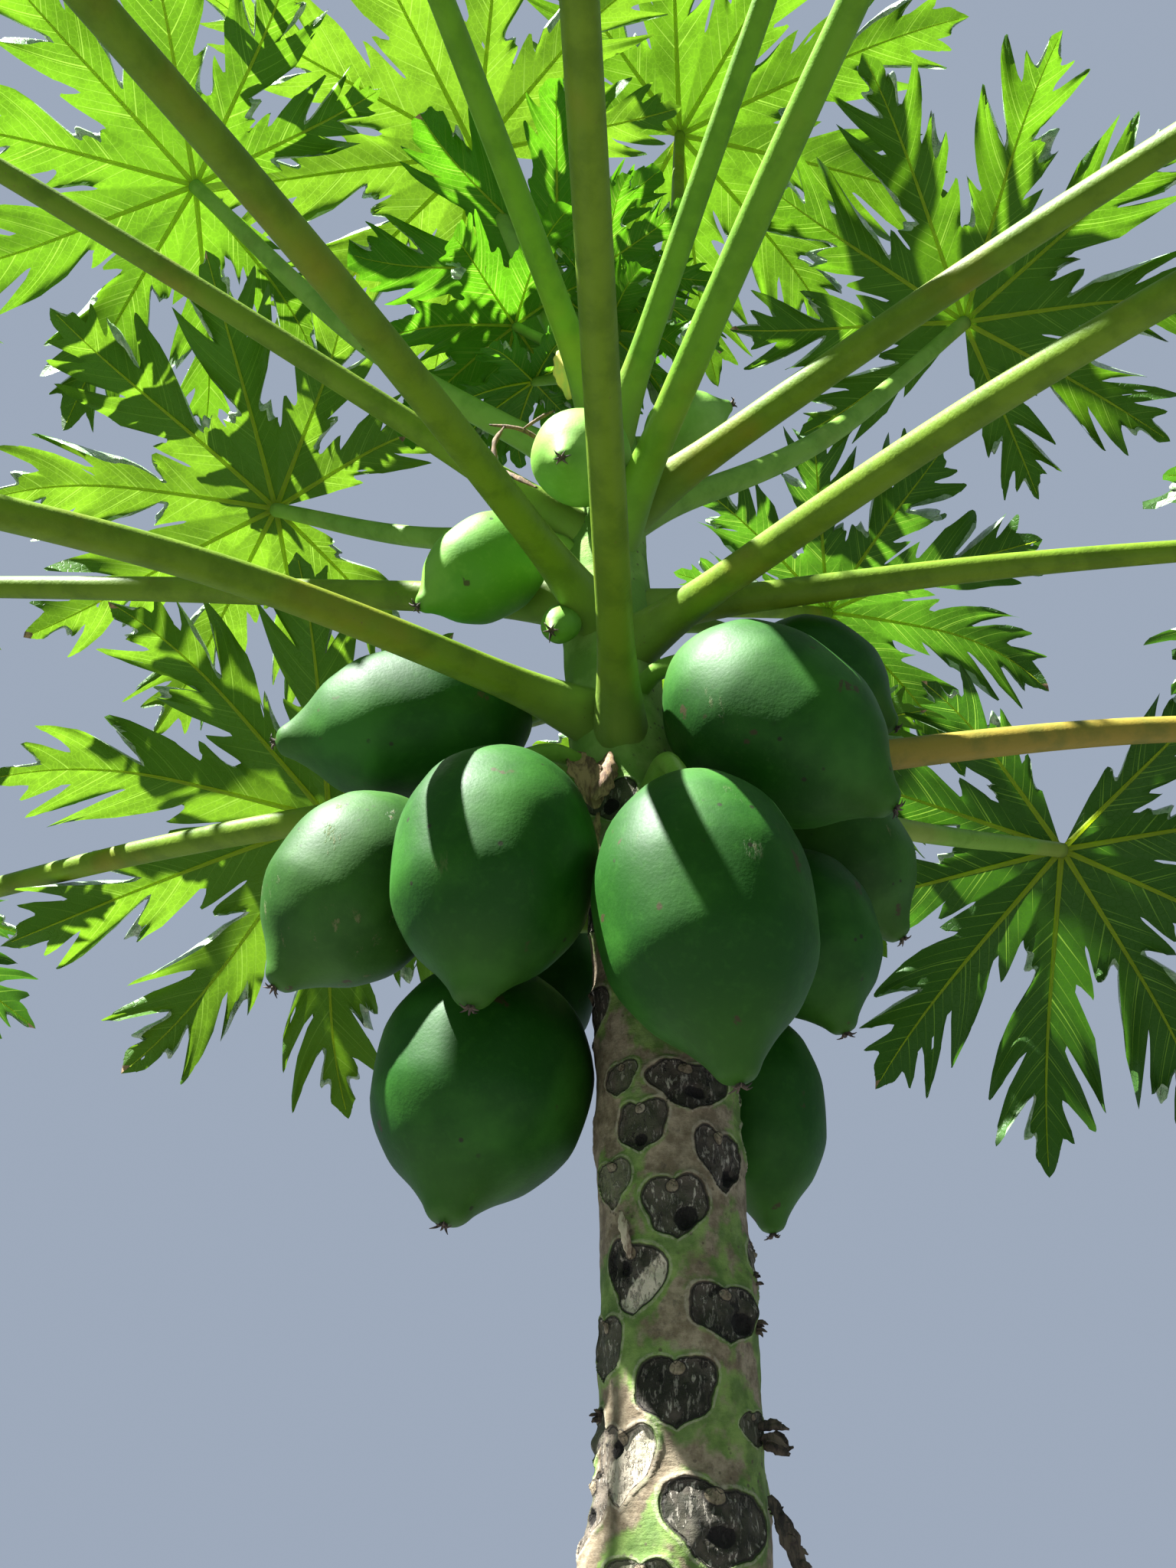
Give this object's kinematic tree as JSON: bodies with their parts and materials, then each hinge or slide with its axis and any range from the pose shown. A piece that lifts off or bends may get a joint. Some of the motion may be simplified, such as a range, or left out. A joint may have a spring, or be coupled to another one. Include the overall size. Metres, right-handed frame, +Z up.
{
  "type": "pawpaw tree",
  "caption": "Fruiting pawpaw tree: one bare scarred trunk, a spiral crown of long-stalked, deeply lobed leaves and a cluster of green fruit hanging under it.",
  "frame": {"origin": "middle of the flat cut under the trunk, at ground level", "axes": "+Z up along the trunk; the tree is seen in the picture from its -Y side, with +X to the right"},
  "size_m": [2.349, 2.0059, 3.1562],
  "materials": {
    "bark": "rough, scarred, matte",
    "stalk": "smooth, satin",
    "fruit": "smooth waxy skin, satin",
    "leaf": "thin leaf, satin"
  },
  "bodies": {
    "root": {"trunk": "bark", "petiole_01": "stalk", "petiole_02": "stalk", "petiole_03": "stalk", "petiole_04": "stalk", "petiole_05": "stalk", "petiole_06": "stalk", "petiole_07": "stalk", "petiole_08": "stalk", "petiole_09": "stalk", "petiole_10": "stalk", "petiole_11": "stalk", "petiole_12": "stalk", "petiole_13": "stalk", "petiole_14": "stalk", "petiole_15": "stalk", "petiole_16": "stalk", "petiole_17": "stalk", "petiole_18": "stalk", "petiole_19": "stalk", "petiole_20": "stalk", "petiole_21": "stalk", "petiole_22": "stalk", "fruit_01": "fruit", "fruit_02": "fruit", "fruit_03": "fruit", "fruit_04": "fruit", "fruit_05": "fruit", "fruit_06": "fruit", "fruit_07": "fruit", "fruit_08": "fruit", "fruit_09": "fruit", "fruit_10": "fruit", "fruit_11": "fruit", "fruit_12": "fruit", "fruit_13": "fruit", "fruit_14": "fruit", "leaf_01": "leaf", "leaf_02": "leaf", "leaf_03": "leaf", "leaf_04": "leaf", "leaf_05": "leaf", "leaf_06": "leaf", "leaf_07": "leaf", "leaf_08": "leaf", "leaf_09": "leaf", "leaf_10": "leaf", "leaf_11": "leaf", "leaf_12": "leaf", "leaf_13": "leaf", "leaf_14": "leaf", "leaf_15": "leaf", "leaf_16": "leaf", "leaf_17": "leaf", "leaf_18": "leaf", "leaf_19": "leaf", "leaf_20": "leaf", "leaf_21": "leaf", "leaf_22": "leaf", "young_leaves": "leaf"}
  },
  "joints": []
}
